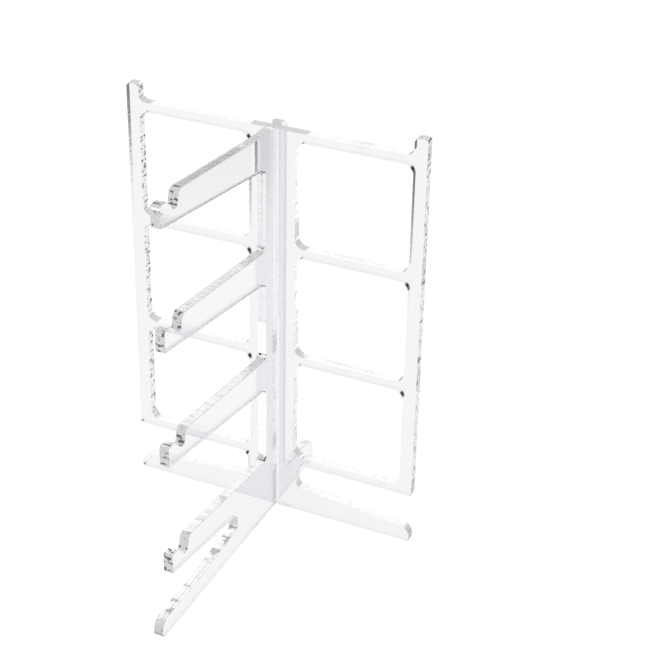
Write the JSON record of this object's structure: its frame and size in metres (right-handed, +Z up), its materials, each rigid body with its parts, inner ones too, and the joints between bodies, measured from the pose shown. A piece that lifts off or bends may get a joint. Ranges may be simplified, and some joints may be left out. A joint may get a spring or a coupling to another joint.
{
  "type": "eyeglass display rack",
  "caption": "Clear acrylic countertop rack for glasses: a ladder-shaped plate slotted across an arm plate whose forward arms end in nose notches.",
  "frame": {"origin": "on the floor where the mid-planes of the two crossed plates meet, which is on the arm plate's underside", "axes": "+Z up; the arms reach forward to -Y and the rear foot to +Y; +X runs along the ladder plate, to the right seen from the front"},
  "size_m": [0.16, 0.1728, 0.2297],
  "materials": {
    "ladder_plate": "clear acrylic sheet, polished faces and laser-cut edges",
    "arm_plate": "clear acrylic sheet, polished faces and laser-cut edges"
  },
  "bodies": {
    "arm_stand": {"arm_plate": "arm_plate"},
    "ladder": {"ladder_plate": "ladder_plate"}
  },
  "joints": [
    {"name": "ladder_lift", "type": "slide", "parent": "arm_stand", "child": "ladder", "axis": [0, 0, 1], "range_m": [0, 0.225]}
  ]
}
